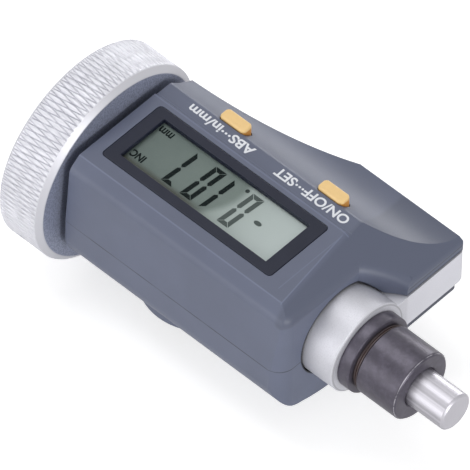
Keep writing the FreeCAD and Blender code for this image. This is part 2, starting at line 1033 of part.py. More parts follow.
def thimble_hub():
    hold = end_screw_length + 3 * shell_gap
    return turned(
        [
            (hub_front, screw_r),
            (hub_front, shaft_r),
            (bush_front - shell_gap, shaft_r),
            (bush_front - shell_gap, journal_r),
            (washer_back - shell_gap / 2, journal_r),
            (washer_back - shell_gap / 2, hub_flange_r),
            (drum_front, hub_flange_r),
            (drum_front, journal_r),
            (hub_end, journal_r),
            (hub_end, end_screw_r),
            (hub_end + hold, end_screw_r),
            (hub_end + hold, 0),
            (screw_back, 0),
            (screw_back, screw_r),
        ]
    )


set_dir = vec(0, -math.sin(math.radians(set_angle)), -math.cos(math.radians(set_angle)))
set_foot = vec(drum_front - set_inset, 0, 0) + set_dir * journal_r
set_depth = drum_r - journal_r


def thimble_drum():
    # Solid drum with a bevelled front land, grip band and dished back.
    drum = turned(
        [
            (drum_front, journal_r),
            (drum_front, drum_r - drum_bevel),
            (drum_front - drum_land, drum_r),
            (drum_back + drum_land, drum_r),
            (drum_back, drum_r - drum_back_bevel),
            (drum_back, dish_r),
            (drum_back + dish_depth, dish_r - dish_depth),
            (drum_back + dish_depth, recess_r),
            (hub_end, recess_r),
            (hub_end, journal_r),
        ]
    )
    return drum.cut(Part.makeCylinder(set_r, set_depth + cut_over, set_foot, set_dir))


def set_screw():
    length = set_depth - set_sunk
    body = Part.makeCylinder(set_r, length, set_foot, set_dir)
    socket_foot = set_foot + set_dir * (length - set_socket)
    socket_run = set_socket + cut_over
    return body.cut(Part.makeCylinder(set_r / 2, socket_run, socket_foot, set_dir))


def end_screw():
    head = rod_x(hub_end - end_head_height, hub_end, end_head_r)
    shank = rod_x(hub_end, hub_end + end_screw_length, end_screw_r)
    return head.fuse(shank).removeSplitter()


def end_cap():
    back = drum_back + dish_depth - 2 * shell_gap
    return rod_x(back, back + cap_disc_thickness, recess_r)


def grouped(shapes):
    return Part.makeCompound(list(shapes))


parts = {
    "frame": frame(),
    "stem": stem(),
    "top_cover": top_cover(),
    "bottom_cover": bottom_cover(),
    "spindle": spindle(),
    "spindle_nut": tube_x(spindle_back, spindle_back + nut_length, nut_r, screw_r + nut_play),
    "carriage": carriage(),
    "clamp_screw": clamp_screw(),
    "guide_key": guide_key(),
    "coupler_plate": coupler_plate(),
    "sensor_board": box(board_back, board_front, -rail_out, rail_out, sensor_low, sensor_high),
    "circuit_board": circuit_board(),
    "board_chips": board_chips(),
    "lcd_panel": box(lcd_back, lcd_front, lcd_low_y, lcd_high_y, lcd_low, lcd_high),
    "lcd_holder": lcd_holder(),
    "contact_strip": zebra_box(0),
    "bezel": bezel(),
    "window_pane": box(
        window_back, window_front, window_low_y, window_high_y, bezel_floor, pane_top
    ),
    "battery": battery(),
    "battery_cap": battery_cap(),
    "cap_seal": cap_seal(),
    "cell_spring": cell_spring(),
    "hub_bush": tube_x(bearing_end, bush_front, bush_r, journal_r + journal_play),
    "thrust_washer": tube_x(washer_back, bearing_end, bush_r, journal_r + screw_gap),
    "thimble_hub": thimble_hub(),
    "feed_screw": rod_x(screw_back, screw_front, screw_r),
    "hub_ring": tube_x(hub_front - ring_width, hub_front, ring_r, shaft_r),
    "thimble_drum": thimble_drum(),
    "set_screw": set_screw(),
    "end_screw": end_screw(),
    "end_cap": end_cap(),
    "button_back": button(button_back_x),
    "button_front": button(button_front_x),
    "pad_back": pad(button_back_x),
    "pad_front": pad(button_front_x),
}
parts["cover_screws"] = grouped(
    screw(
        x,
        y,
        cover_head_high - cover_head_height,
        cover_head_r,
        cover_head_height,
        cover_screw_r,
        cover_screw_top - 3 * shell_gap,
    )
    for x, y in post_spots
)
parts["wing_screws"] = grouped(
    screw(
        x,
        y,
        sheet_low,
        wing_head_r,
        sheet_thickness,
        wing_screw_r,
        wing_low + wing_screw_grip - 2 * shell_gap,
    )
    for x, y in wing_spots
)
parts["board_screws"] = grouped(
    screw(
        x,
        y,
        board_low - board_head,
        board_screw_r + head_over,
        board_head,
        board_screw_r,
        board_screw_top,
        False,
    )
    for x, y in board_spots
)

os.makedirs("parts", exist_ok=True)
for name, shape in parts.items():
    moved = shape.copy()
    moved.translate(vec(-stem_start, 0, 0))
    if len(moved.Solids) == 1:
        moved = moved.Solids[0]
    moved.exportStep("parts/" + name + ".step")
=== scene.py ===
import json
import math

import bmesh
import bpy
from mathutils import Matrix, Vector


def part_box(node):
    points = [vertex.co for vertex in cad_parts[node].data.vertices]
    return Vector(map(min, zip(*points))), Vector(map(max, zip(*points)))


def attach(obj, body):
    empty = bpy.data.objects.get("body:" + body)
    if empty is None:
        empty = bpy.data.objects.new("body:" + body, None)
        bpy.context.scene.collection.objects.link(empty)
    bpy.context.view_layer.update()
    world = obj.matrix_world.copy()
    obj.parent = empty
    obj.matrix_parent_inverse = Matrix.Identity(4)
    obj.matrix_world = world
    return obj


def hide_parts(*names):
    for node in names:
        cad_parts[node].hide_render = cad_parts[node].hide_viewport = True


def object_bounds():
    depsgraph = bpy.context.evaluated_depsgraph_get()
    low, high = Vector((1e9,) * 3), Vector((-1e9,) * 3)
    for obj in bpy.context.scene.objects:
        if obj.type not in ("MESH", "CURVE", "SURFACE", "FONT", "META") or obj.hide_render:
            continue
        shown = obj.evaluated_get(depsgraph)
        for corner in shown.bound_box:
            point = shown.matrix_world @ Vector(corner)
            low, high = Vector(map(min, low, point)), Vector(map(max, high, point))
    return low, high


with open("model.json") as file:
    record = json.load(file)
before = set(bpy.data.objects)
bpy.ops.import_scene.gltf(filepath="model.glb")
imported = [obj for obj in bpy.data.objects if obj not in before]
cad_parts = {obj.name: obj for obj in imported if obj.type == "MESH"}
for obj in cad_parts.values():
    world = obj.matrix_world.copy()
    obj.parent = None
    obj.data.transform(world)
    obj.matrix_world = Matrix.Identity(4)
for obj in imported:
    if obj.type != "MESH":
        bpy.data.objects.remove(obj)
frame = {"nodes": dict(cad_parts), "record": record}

bl_info = {
    "name": "Micrometer head",
    "version": (1, 0, 0),
    "blender": (4, 5, 0),
    "location": "3D View > Sidebar > Micrometer",
    "description": "Dresses a digital micrometer head: covers, display, thimble, stem and stage",
    "category": "Object",
}

MM = 0.001
FULL_TURN = 2 * math.pi
CAD_LOW, CAD_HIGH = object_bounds()

# Heights of the built-in typeface at size 1
CAPITAL_HEIGHT, SMALL_HEIGHT = 0.729, 0.56
# Thickness of the display figures and of the printed legends, in millimetres
FIGURE_THICK, LEGEND_THICK = 0.02, 0.03


def tint(red, green, blue):
    """A colour given in 0-255 display steps, as the linear values that a shader reads."""
    steps = (value / 255 for value in (red, green, blue))
    return tuple(s / 12.92 if s <= 0.04045 else ((s + 0.055) / 1.055) ** 2.4 for s in steps)


def span(node):
    """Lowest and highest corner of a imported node, in millimetres."""
    low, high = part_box(node)
    return low / MM, high / MM


# Modelling


def deselect():
    bpy.ops.object.select_all(action="DESELECT")


def pick(obj):
    deselect()
    obj.select_set(True)
    bpy.context.view_layer.objects.active = obj


def open_mesh(obj):
    pick(obj)
    bpy.ops.object.mode_set(mode="EDIT")
    bpy.ops.mesh.select_mode(type="VERT")
    bpy.ops.mesh.select_all(action="SELECT")


def close_mesh():
    bpy.ops.object.mode_set(mode="OBJECT")


def close_shell():
    """Turns every face outward, then leaves the mesh."""
    bpy.ops.mesh.select_all(action="SELECT")
    bpy.ops.mesh.normals_make_consistent(inside=False)
    close_mesh()


def named(name):
    """The object just made, under its own name."""
    obj = bpy.context.active_object
    obj.name = name
    obj.data.name = name
    return obj


def choose(obj, kind, test):
    """Selects the vertices, edges or faces whose middle, in millimetres, passes the test."""
    bpy.ops.mesh.select_all(action="DESELECT")
    bpy.ops.mesh.select_mode(type=kind)
    shape = bmesh.from_edit_mesh(obj.data)
    groups = {"VERT": shape.verts, "EDGE": shape.edges, "FACE": shape.faces}
    for item in groups[kind]:
        corners = [item.co] if kind == "VERT" else [v.co for v in item.verts]
        middle = sum(corners, Vector()) / len(corners)
        item.select_set(bool(test(middle / MM)))
    shape.select_flush_mode()
    bmesh.update_edit_mesh(obj.data)


def begin(name, place):
    """Starts a mesh from one vertex of a small plane, at a place in millimetres."""
    deselect()
    bpy.ops.mesh.primitive_plane_add(size=MM, location=(0, 0, 0))
    obj = named(name)
    open_mesh(obj)
    bpy.ops.mesh.merge(type="CENTER")
    bpy.ops.transform.translate(value=[value * MM for value in place])
    return obj


def draw(points):
    """Extrudes the one selected vertex along the points, given in millimetres."""
    for before, after in zip(points, points[1:]):
        step = [(b - a) * MM for a, b in zip(before, after)]
        bpy.ops.mesh.extrude_region_move(TRANSFORM_OT_translate={"value": step})


def eased(points):
    """A profile of (x, radius, rounding) with each rounded corner drawn in short steps."""
    out = []
    for n, (x, r, round_by) in enumerate(points):
        here = Vector((x, r))
        if not round_by:
            out.append(here)
            continue
        before = Vector(points[n - 1][:2]) - here
        after = Vector(points[(n + 1) % len(points)][:2]) - here
        start = here + before.normalized() * min(round_by, before.length / 2)
        end = here + after.normalized() * min(round_by, after.length / 2)
        for part in (0, 0.25, 0.5, 0.75, 1):
            out.append(start.lerp(here, part).lerp(here.lerp(end, part), part))
    return out


def turned(name, points, steps):
    """A piece turned round the spindle line from a closed profile."""
    profile = [(p.x, 0, p.y) for p in eased(points)]
    profile.append(profile[0])
    obj = begin(name, profile[0])
    draw(profile)
    bpy.ops.mesh.select_all(action="SELECT")
    bpy.ops.mesh.spin(steps=steps, angle=FULL_TURN, center=(0, 0, 0), axis=(1, 0, 0))
    bpy.ops.mesh.select_all(action="SELECT")
    bpy.ops.mesh.remove_doubles(threshold=0.002 * MM)
    bpy.ops.mesh.dissolve_degenerate(threshold=0.001 * MM)
    close_shell()
    return obj


def plate(name, outline, low, thick):
    """A flat plate drawn corner by corner and raised to its thickness, in millimetres."""
    corners = [(x, y, low) for x, y in outline]
    obj = begin(name, corners[0])
    draw(corners)
    bpy.ops.mesh.select_all(action="SELECT")
    bpy.ops.mesh.edge_face_add()
    bpy.ops.mesh.extrude_region_move(TRANSFORM_OT_translate={"value": (0, 0, thick * MM)})
    close_shell()
    return obj


def finish_with(obj, kind, **settings):
    """Adds one modifier to an object and applies it."""
    pick(obj)
    modifier = obj.modifiers.new(kind.lower(), kind)
    for label, value in settings.items():
        setattr(modifier, label, value)
    bpy.ops.object.modifier_apply(modifier=modifier.name)


def smooth(obj, degrees):
    """Smooth shading below an angle, led by the larger faces so that flats stay flat."""
    pick(obj)
    bpy.ops.object.shade_smooth_by_angle(angle=math.radians(degrees))
    finish_with(obj, "WEIGHTED_NORMAL", keep_sharp=True)


def round_edges(obj, width, segments=2, degrees=30):
    """Rounds every edge sharper than the angle, with the rounding applied."""
    limit = math.radians(degrees)
    sizes = {"width": width, "segments": segments, "use_clamp_overlap": True}
    finish_with(obj, "BEVEL", limit_method="ANGLE", angle_limit=limit, **sizes)


def join_up(name, node):
    """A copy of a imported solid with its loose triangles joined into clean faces."""
    mesh = frame["nodes"][node].data.copy()
    mesh.name = name
    mesh.materials.clear()
    obj = bpy.data.objects.new(name, mesh)
    bpy.context.scene.collection.objects.link(obj)
    pick(obj)
    bpy.ops.mesh.customdata_custom_splitnormals_clear()
    open_mesh(obj)
    bpy.ops.mesh.remove_doubles(threshold=0.001 * MM)
    bpy.ops.mesh.dissolve_limited(angle_limit=math.radians(0.6))
    close_mesh()
    return obj


def weld(objects, name):
    """Several meshes made into one piece."""
    deselect()
    for obj in objects:
        obj.select_set(True)
    bpy.context.view_layer.objects.active = objects[0]
    bpy.ops.object.join()
    return named(name)


def settle(obj):
    """Moves an object's place into its mesh."""
    pick(obj)
    bpy.ops.object.transform_apply(location=True, rotation=True, scale=True)
    return obj


def cut(obj, cutter):
    """Takes one shape out of another and removes the cutter."""
    finish_with(obj, "BOOLEAN", operation="DIFFERENCE", solver="EXACT", object=cutter)
    pick(cutter)
    bpy.ops.object.delete()


def dress(obj, finish, body, *nodes):
    """Gives a finished piece its material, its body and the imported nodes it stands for."""
    obj.data.materials.clear()
    obj.data.materials.append(finish)
    if nodes:
        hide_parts(*nodes)
        slot_of(nodes[0])
    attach(obj, body)


def dress_copy(name, node, edge, angle, finish, body, segments=2):
    """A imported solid's copy with rounded edges, smooth shading, material and body."""
    piece = join_up(name, node)
    round_edges(piece, edge, segments)
    smooth(piece, angle)
    dress(piece, finish, body, node)


def slot_of(node):
    for part in frame["record"]["subparts"]:
        if part["node"] == node:
            return part["material_slot"]
    raise RuntimeError("the record gives no material slot for " + node)


# Materials


class Signal:
    """A value in a material's node tree. Arithmetic on it adds Math nodes."""

    def __init__(self, finish, socket):
        self.finish = finish
        self.socket = socket

    def _math(self, operation, *values, clamp=False):
        settings = {"operation": operation, "use_clamp": clamp}
        return self.finish.node("ShaderNodeMath", settings, dict(enumerate(values)))

    def __add__(self, other):
        return self._math("ADD", self, other)

    def __sub__(self, other):
        return self._math("SUBTRACT", self, other)

    def __rsub__(self, other):
        return self._math("SUBTRACT", other, self)

    def __mul__(self, other):
        return self._math("MULTIPLY", self, other)

    def __truediv__(self, other):
        return self._math("DIVIDE", self, other)

    def __pow__(self, other):
        return self._math("POWER", self, other)

    __radd__ = __add__
    __rmul__ = __mul__

    def clamped(self):
        return self._math("ADD", self, 0.0, clamp=True)

    def absolute(self):
        return self._math("ABSOLUTE", self)

    def angle_from(self, other):
        return self._math("ARCTAN2", self, other)

    def step(self, low, high):
        """0 below low, 1 above high and a soft ramp between."""
        ramp = ((self - low) / (high - low)).clamped()
        return ramp * ramp * (3.0 - 2.0 * ramp)


class Graph:
    """The node tree of a material or of the world."""

    def __init__(self, owner):
        owner.use_nodes = True
        self.tree = owner.node_tree

    def node(self, kind, settings, values, output=0):
        """Adds one node: its settings first, then the values or links of its sockets."""
        made = self.tree.nodes.new(kind)
        for label, value in settings.items():
            setattr(made, label, value)
        for label, value in values.items():
            socket = made.inputs[label]
            if isinstance(value, Signal):
                self.tree.links.new(value.socket, socket)
            elif socket.type == "RGBA":
                socket.default_value = (*value, 1.0)
            else:
                socket.default_value = value
        return Signal(self, made.outputs[output]) if made.outputs else None

    def ray(self, kind):
        """1 for light rays of one kind, such as Camera, and 0 for the others."""
        return self.node("ShaderNodeLightPath", {}, {}, f"Is {kind} Ray")


class Finish(Graph):
    """A material under construction on the principled shader."""

    def __init__(self, name, **constants):
        self.material = bpy.data.materials.new(name)
        super().__init__(self.material)
        self.shader = self.tree.nodes["Principled BSDF"]
        for label, value in constants.items():
            socket = self.shader.inputs[label.replace("_", " ")]
            socket.default_value = (*value, 1.0) if isinstance(value, tuple) else value

    def place(self, stretch=(1, 1, 1)):
        """Object coordinates in millimetres, stretched along each axis."""
        spot = self.node("ShaderNodeTexCoord", {}, {}, "Object")
        scale = tuple(value / MM for value in stretch)
        return self.node("ShaderNodeMapping", {}, {"Vector": spot, "Scale": scale})

    def axes(self, vector):
        parts = self.node("ShaderNodeSeparateXYZ", {}, {0: vector})
        return [Signal(self, socket) for socket in parts.socket.node.outputs]

    def radius(self, y, z):
        """Distance from the spindle line."""
        return (y * y + z * z) ** 0.5

    def noise(self, scale, detail=2.0, rough=0.5, stretch=(1, 1, 1)):
        """Soft random pattern; scale is in spots per millimetre."""
        values = {"Vector": self.place(stretch), "Scale": scale, "Detail": detail}
        values["Roughness"] = rough
        return self.node("ShaderNodeTexNoise", {}, values, "Fac")

    def noise_along(self, way, scale, rough):
        """Random bands across one signal."""
        settings = {"noise_dimensions": "1D"}
        values = {"W": way, "Scale": scale, "Detail": 3.0, "Roughness": rough}
        return self.node("ShaderNodeTexNoise", settings, values, "Fac")

    def mix(self, amount, first, second):
        settings = {"data_type": "RGBA"}
        return self.node("ShaderNodeMix", settings, {0: amount, 6: first, 7: second}, 2)

    def shade(self, amount, colour, low, high):
        """One colour, from low times its strength to high times it."""
        return self.mix(amount, spread(colour, low), spread(colour, high))

    def feed(self, label, signal):
        self.tree.links.new(signal.socket, self.shader.inputs[label])

    def surface(self, base, rough, height=None, depth=0.0):
        """Colour, gloss, and a bump whose height of 1 stands for a depth in millimetres."""
        self.feed("Base Color", base)
        self.feed("Roughness", rough)
        if height:
            values = {"Height": height, "Strength": 1.0, "Distance": depth * MM}
            self.feed("Normal", self.node("ShaderNodeBump", {}, values, "Normal"))
        return self


def spread(colour, amount):
    return tuple(min(1.0, value * amount) for value in colour)


def once(maker):
    """Makes a material the first time it is asked for, and hands back the same one after."""

    def fetch(colours):
        name = maker.__name__ + "_finish"
        return bpy.data.materials.get(name) or maker(colours, name).material

    return fetch


def stroke(away, width):
    """1 on a line, from the distance to it in millimetres, fading to 0 at the width."""
    return 1.0 - away.absolute().step(width * 0.4, width)


@once
def housing_plastic(colours, name):
    finish = Finish(name, Specular_IOR_Level=0.45)
    x, y, z = finish.axes(finish.place())
    dark = spread(colours.housing, 0.2)
    cloud = finish.noise(0.12, 3.0)
    grain = finish.noise(9.0, 2.0)
    base = finish.shade(cloud.step(0.3, 0.7), colours.housing, 0.95, 1.05)
    base = finish.mix(grain * 0.12, base, spread(colours.housing, 1.5))

    # Painted shade: the covers darken along the parting gap between them, more in some stretches
    # than in others.
    seam_shade = 1.0 - (z - span("top_cover")[0].z).absolute().step(0.03, 0.14)
    tight = finish.noise(0.16, 2.0).step(0.35, 0.6)
    base = finish.mix(seam_shade * (0.35 + tight * 0.55), base, dark)

    # Painted shade: the covers go almost black inside the collar's hole.
    hole_radius, hole_back = 8.36, -11.0
    hole_shade = 1.0 - finish.radius(y, z).step(hole_radius, hole_radius + 0.1)
    hole_shade = hole_shade * x.step(hole_back, hole_back + 1.0)
    base = finish.mix(hole_shade, base, spread(colours.housing, 0.12))

    # Painted shade: the front facet and the wing's slopes past the crease are darkened, for the
    # way light falls on them.
    crease_x, crease_y, crease_turn = -12.0, -10.1, math.radians(8.343)
    past_crease = (x - crease_x) * math.cos(crease_turn) + (y - crease_y) * math.sin(crease_turn)
    sloping = (y.step(4.5, 6.5) + z.step(9.0, 9.6)).clamped()
    base = finish.mix(past_crease.step(0.0, 1.0) * sloping, base, spread(colours.housing, 0.86))

    # Painted highlights: thin light lines along the plateau edge, the crease, the frame front and
    # the ridges, where the edges catch light.
    plateau_edge, frame_front, ridges = -9.9, -14.3, (6.75, 7.5)
    edge = stroke(y - plateau_edge, 0.16) * (1.0 - x.step(-12.4, -12.0))
    crease = stroke(past_crease, 0.16) * y.step(-10.3, -10.0) * (1.0 - y.step(5.5, 6.9))
    front = stroke(x - frame_front, 0.14) * y.step(-8.4, -8.0) * (1.0 - y.step(4.0, 5.5))
    ridge = stroke(y - ridges[0], 0.16) + stroke(y - ridges[1], 0.14)
    highlight_lines = (edge + crease + front * 0.7 + ridge) * z.step(11.7, 11.9)
    base = finish.mix((highlight_lines * 0.5).clamped(), base, spread(colours.housing, 1.6))

    # Painted shade: a dark line along the wing's front face and a dark band at its foot.
    groove_height, foot_height = 5.35, 4.4
    wing_face = x.step(-3.7, -3.55) * y.step(9.2, 9.8)
    groove = stroke(z - groove_height, 0.16) + (1.0 - z.step(foot_height, foot_height + 0.15))
    base = finish.mix(wing_face * groove * 0.6, base, dark)
    return finish.surface(base, 0.36 + grain * 0.12 + cloud * 0.04, grain, 0.012)


@once
def bezel_plastic(colours, name):
    finish = Finish(name, Specular_IOR_Level=0.3)
    grain = finish.noise(14.0, 2.0)
    haze = finish.noise(0.25, 2.0)
    base = finish.shade(haze, colours.bezel, 0.88, 1.12)
    return finish.surface(base, 0.3 + haze * 0.1, grain, 0.004)


@once
def black_oxide(colours, name):
    finish = Finish(name, Metallic=0.35, Specular_IOR_Level=0.4)
    x, y, z = finish.axes(finish.place())
    radius = finish.radius(y, z)
    tool_lines = finish.noise(1.0, 3.0, 0.6, (14.0, 0.25, 0.25))
    wear = finish.noise(0.9, 4.0, 0.6)
    base = finish.shade(wear.step(0.35, 0.75), colours.stem, 0.85, 1.2)

    groove_back, groove_front = -1.05, 0.05
    along_groove = x.step(groove_back, groove_back + 0.15)
    along_groove = along_groove * (1.0 - x.step(groove_front - 0.15, groove_front))
    in_groove = (1.0 - radius.step(5.55, 5.95)) * along_groove
    warm = finish.mix(tool_lines, colours.groove_low, colours.groove_high)
    base = finish.mix(in_groove * 0.85, base, warm)

    # Painted highlight: a thin line of steel colour round the stem's front edge, broken up by the
    # wear pattern.
    glint_radius, glint_start = 5.88, 7.5
    rim = 1.0 - (radius - glint_radius).absolute().step(0.03, 0.08)
    rim = x.step(glint_start, glint_start + 0.1) * rim * wear.step(0.35, 0.6)
    base = finish.mix(rim * 0.8, base, colours.steel)
    return finish.surface(base, 0.26 + tool_lines * 0.12 + wear * 0.08, tool_lines, 0.006)


@once
def ground_steel(colours, name):
    finish = Finish(name, Metallic=1.0)
    x, y, z = finish.axes(finish.place())
    # Painted reflection: darker bands along the spindle, set by the angle round it, stopping short
    # of the tip.
    bands = finish.noise_along(y.angle_from(z), 3.2, 0.55)
    grind = finish.noise(1.0, 3.0, 0.6, (22.0, 0.4, 0.4))
    tip_start = 14.6
    reflection_streak = (1.0 - bands.step(0.4, 0.6)) * (1.0 - x.step(tip_start, tip_start + 0.15))
    base = finish.shade(grind, colours.steel, 0.94, 1.04)
    base = finish.mix(reflection_streak * 0.6, base, spread(colours.steel, 0.6))
    return finish.surface(base, 0.4 + grind * 0.08, grind, 0.003)


@once
def satin_alloy(colours, name):
    finish = Finish(name, Metallic=0.55, Specular_IOR_Level=0.4)
    x, y, z = finish.axes(finish.place())
    cloud = finish.noise(0.4, 3.0)
    grit = finish.noise(5.0, 3.0, 0.6)
    base = finish.shade(cloud, colours.alloy, 0.95, 1.03)
    base = finish.mix(grit.step(0.45, 0.75) * 0.4, base, spread(colours.alloy, 0.75))

    # Painted shade and painted reflection of the dark housing: the collar darkens toward the
    # housing's front.
    collar_side, housing_front = 7.6, -9.4
    housing_shade = (1.0 - x.step(housing_front, -4.6)) * (1.0 - y.step(collar_side, collar_side + 0.5))
    housing_shade = housing_shade * x.step(-50.0, -40.0)
    base = finish.mix(housing_shade * 0.3, base, spread(colours.alloy, 0.5))

    # Painted shade: a thin darker line round the collar's front edge.
    collar_rim, collar_face = 7.72, -3.5
    rim = stroke(finish.radius(y, z) - collar_rim, 0.16) * x.step(collar_face, collar_face + 0.1)
    base = finish.mix(rim * 0.5, base, spread(colours.alloy, 0.35))
    # Painted light: the plate's front face is lightened.
    plate_front_light = y.step(8.6, 9.2) * x.step(-3.4, -3.3)
    base = finish.mix(plate_front_light * 0.4, base, spread(colours.alloy, 1.2))
    return finish.surface(base, 0.46 + grit * 0.16, grit, 0.03)


@once
def thimble_alloy(colours, name):
    finish = Finish(name, Metallic=0.5, Specular_IOR_Level=0.5)
    x, y, z = finish.axes(finish.place())
    radius = finish.radius(y, z)
    front, crest = span("thimble_drum")[1].x, span("thimble_drum")[1].z
    grit = finish.noise(9.0, 3.0, 0.6)
    metal = finish.shade(grit, colours.thimble, 0.9, 1.04)

    grip = x.step(front - 8.3, front - 8.2) * (1.0 - x.step(front - 0.95, front - 0.8))
    grip = grip * radius.step(crest - 0.9, crest - 0.7)
    # Painted shade: the knurl's valleys in the grip are darkened, patchily.
    valley_shade = 1.0 - radius.step(crest - 0.2, crest - 0.05)
    patchy = finish.noise(0.7, 2.0, 0.6, (0.4, 1, 1))
    streaks = finish.noise(1.0, 3.0, 0.6, (0.35, 3.4, 3.4)).step(0.5, 0.66)
    metal = finish.mix(valley_shade * grip * (0.1 + patchy), metal, colours.knurl_valley)
    metal = finish.mix(streaks * grip * 0.22, metal, colours.knurl_valley)
    land = x.step(front - 0.8, front - 0.7)
    metal = finish.mix(land, metal, spread(colours.thimble, 0.84))

    # Painted reflection: the face beside the covers takes the housing's dark blue-grey, as
    # mirrored in the metal, with specks and rings.
    on_face = (1.0 - radius.step(crest - 1.25, crest - 1.1)) * x.step(front - 0.3, front - 0.1)
    rings = finish.noise_along(radius, 5.0, 0.6)
    speck = finish.noise(3.6, 2.0, 0.6).step(0.38, 0.64)
    face = finish.shade(speck * 0.6 + rings * 0.4, colours.face, 0.68, 1.3)
    base = finish.mix(on_face, metal, face)
    height = grit * 0.5 + rings * on_face + streaks * grip * 1.5
    return finish.surface(base, 0.42 + grit * 0.1, height, 0.012)


@once
def button_plastic(colours, name):
    finish = Finish(name, Specular_IOR_Level=0.5)
    mottle = finish.noise(1.4, 3.0)
    grain = finish.noise(12.0, 2.0)
    height = finish.axes(finish.place())[2]
    # Painted shade: the buttons' flanks, below the top, take a deeper orange.
    flank = 1.0 - height.step(11.45, 11.8)
    base = finish.shade(mottle, colours.button, 0.93, 1.05)
    base = finish.mix(flank, base, colours.button_flank)
    return finish.surface(base, 0.36 + grain * 0.1, grain, 0.008)


@once
def legend_ink(colours, name):
    finish = Finish(name, Specular_IOR_Level=0.4)
    speck = finish.noise(10.0, 2.0)
    base = finish.shade(speck.step(0.55, 0.8), colours.legend, 1.0, 0.8)
    return finish.surface(base, 0.5 + speck * 0.1)


def bright_side(finish):
    """X, Y, and 0 on the panel's dim part to 1 on its bright part, past a curved soft edge; the
    dim part is a painted reflection of something dark in the glass.
    """
    x, y = finish.axes(finish.place())[:2]
    crown_x, crown_y, bulge = -31.0, 1.7, 0.0625
    away = crown_y - y
    edge = crown_x - away * away * bulge
    return x, y, (x - edge).step(-1.0, 0.9)


@once
def crystal_panel(colours, name):
    finish = Finish(name, Specular_IOR_Level=0.3)
    x, y, lit = bright_side(finish)
    low, high = span("window_pane")
    along = ((x - low.x) / (high.x - low.x)).clamped()
    fine = finish.noise(0.5, 2.0)
    # Painted reflection: the panel's dim and bright grounds.
    dim = finish.mix(along * 0.6 + fine * 0.2, colours.panel_dim, colours.panel_mid)
    bright = finish.mix(along.step(0.3, 1.0), colours.panel_mid, colours.panel_bright)
    base = finish.mix(lit, dim, bright)
    shade = (1.0 - y.step(-5.1, -3.7)) * (1.0 - x.step(-38.0, -31.0))
    base = finish.mix(shade * 0.75, base, colours.panel_shade)
    return finish.surface(base, 0.45 + fine * 0.1)


@once
def crystal_segment(colours, name):
    finish = Finish(name, Specular_IOR_Level=0.1)
    lit = bright_side(finish)[2]
    fine = finish.noise(3.0, 2.0)
    dark = finish.shade(fine, colours.segment, 1.0, 1.25)
    # Painted reflection: the figures lighten in the bright part of the panel.
    base = finish.mix(lit, dark, colours.segment_lit)
    return finish.surface(base, 0.4 + fine * 0.1)


@once
def clear_pane(colours, name):
    finish = Finish(name, Base_Color=(0.02, 0.025, 0.025), Specular_IOR_Level=0.2)
    rim = finish.node("ShaderNodeLayerWeight", {}, {"Blend": 0.25}, "Facing")
    smear = finish.noise(0.3, 3.0)
    finish.feed("Alpha", 0.02 + rim * 0.15)
    finish.feed("Roughness", 0.04 + smear * 0.05)
    return finish


def plain(name, tone, low, high, grit, rough, rougher, depth, **constants):
    """A finish with one fine pattern in its colour, its gloss and its surface."""
    finish = Finish(name, **constants)
    pattern = finish.noise(*grit)
    base = finish.shade(pattern, tone, low, high)
    return finish.surface(base, rough + pattern * rougher, pattern, depth)


@once
def cap_plastic(colours, name):
    finish = Finish(name, Specular_IOR_Level=0.45)
    grain = finish.noise(8.0, 2.0)
    base = finish.shade(finish.noise(0.3, 2.0), colours.cap, 0.9, 1.1)
    return finish.surface(base, 0.42 + grain * 0.12, grain, 0.012)


@once
def screw_steel(colours, name):
    grit = (9.0, 3.0, 0.6)
    return plain(name, colours.screw, 0.85, 1.1, grit, 0.28, 0.15, 0.006, Metallic=1.0)


@once
def bearing_bronze(colours, name):
    grit = (6.0, 3.0, 0.6)
    return plain(name, colours.bronze, 0.85, 1.1, grit, 0.3, 0.12, 0.006, Metallic=1.0)


@once
def circuit_laminate(colours, name):
    weave = (5.0, 2.0, 0.5, (1.0, 0.3, 1.0))
    return plain(name, colours.board, 0.8, 1.2, weave, 0.35, 0.15, 0.01, Specular_IOR_Level=0.5)


@once
def moulded_black(colours, name):
    grain = (8.0, 2.0)
    return plain(name, colours.rubber, 0.57, 1.43, grain, 0.55, 0.15, 0.01, Specular_IOR_Level=0.4)


@once
def holder_plastic(colours, name):
    grain = (6.0, 2.0)
    return plain(name, colours.holder, 0.91, 1.09, grain, 0.5, 0.1, 0.008, Specular_IOR_Level=0.4)


# Settings


def length(name, description, default):
    return bpy.props.FloatProperty(
        name=name,
        description=description,
        default=default * MM,
        min=0.0,
        precision=6,
        subtype="DISTANCE",
        unit="LENGTH",
    )


def count(name, description, default, low, high):
    return bpy.props.IntProperty(
        name=name, description=description, default=default, min=low, max=high
    )


def amount(name, description, default):
    return bpy.props.FloatProperty(name=name, description=description, default=default, min=0.0)


def colour(name, description, default):
    return bpy.props.FloatVectorProperty(
        name=name, description=description, default=default, min=0.0, max=1.0, subtype="COLOR"
    )


